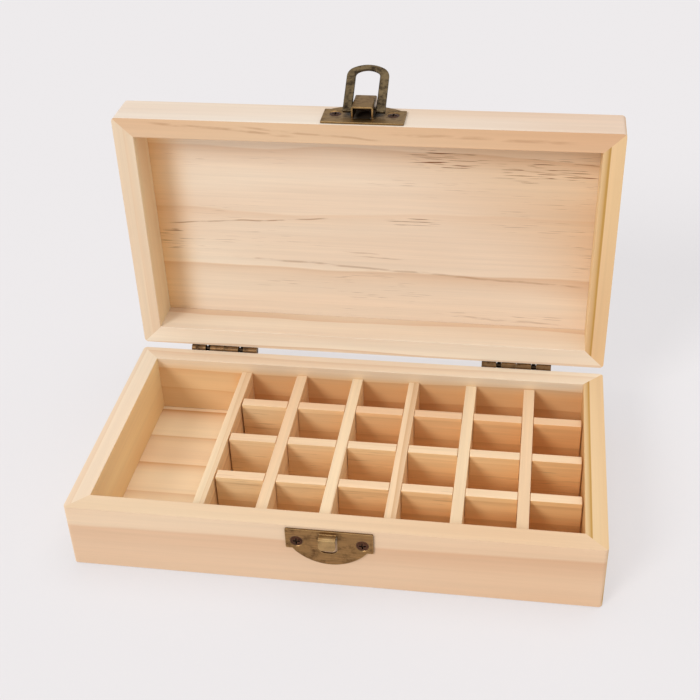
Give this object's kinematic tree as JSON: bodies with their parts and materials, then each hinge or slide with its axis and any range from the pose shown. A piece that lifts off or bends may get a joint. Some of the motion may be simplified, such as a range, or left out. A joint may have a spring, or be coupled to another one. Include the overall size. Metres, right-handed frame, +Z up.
{
  "type": "essential oil storage box",
  "caption": "Shallow hinged pine box with a long compartment, a grid of square cells for small oil bottles, a tray-like lid and a bronze hasp whose loop drops over a hook.",
  "frame": {"origin": "middle of the underside of the base", "axes": "+X along the box, with the long compartment at the -X end; +Y towards the hinges; +Z up. The hasp is on the -Y side of the closed box. At rest the lid stands open at 90 degrees."},
  "size_m": [0.246, 0.1699, 0.1862],
  "materials": {
    "pine_walls": "bare, sanded",
    "pine_panels": "bare, sanded",
    "pine_dividers": "bare, sanded",
    "aged_bronze": "antiqued",
    "dark_screws": "antiqued"
  },
  "bodies": {
    "base": {"base_front_wall": "pine_walls", "base_back_wall": "pine_walls", "base_left_wall": "pine_walls", "base_right_wall": "pine_walls", "base_bottom_panel": "pine_panels", "compartment_partition": "pine_dividers", "long_divider_1": "pine_dividers", "long_divider_2": "pine_dividers", "long_divider_3": "pine_dividers", "long_divider_4": "pine_dividers", "long_divider_5": "pine_dividers", "cross_divider_1": "pine_dividers", "cross_divider_2": "pine_dividers", "cross_divider_3": "pine_dividers", "left_hinge_base_leaf": "aged_bronze", "right_hinge_base_leaf": "aged_bronze", "left_hinge_pin": "aged_bronze", "right_hinge_pin": "aged_bronze", "base_hinge_screws": "dark_screws", "keeper_plate": "aged_bronze", "keeper_screws": "dark_screws"},
    "lid": {"lid_front_wall": "pine_walls", "lid_back_wall": "pine_walls", "lid_left_wall": "pine_walls", "lid_right_wall": "pine_walls", "lid_top_panel": "pine_panels", "left_hinge_lid_leaf": "aged_bronze", "right_hinge_lid_leaf": "aged_bronze", "lid_hinge_screws": "dark_screws", "hasp_plate": "aged_bronze", "hasp_screws": "dark_screws"},
    "hasp": {"hasp_loop": "aged_bronze"}
  },
  "joints": [
    {"name": "lid_hinge", "type": "hinge", "parent": "base", "child": "lid", "pos_m": [0, 0.0677, 0.035], "axis": [1, 0, 0], "range_deg": [0, 90]},
    {"name": "hasp_swing", "type": "hinge", "parent": "lid", "child": "hasp", "pos_m": [0, 0.0785, 0.1721], "axis": [1, 0, 0], "range_deg": [-43, 151.5]}
  ]
}
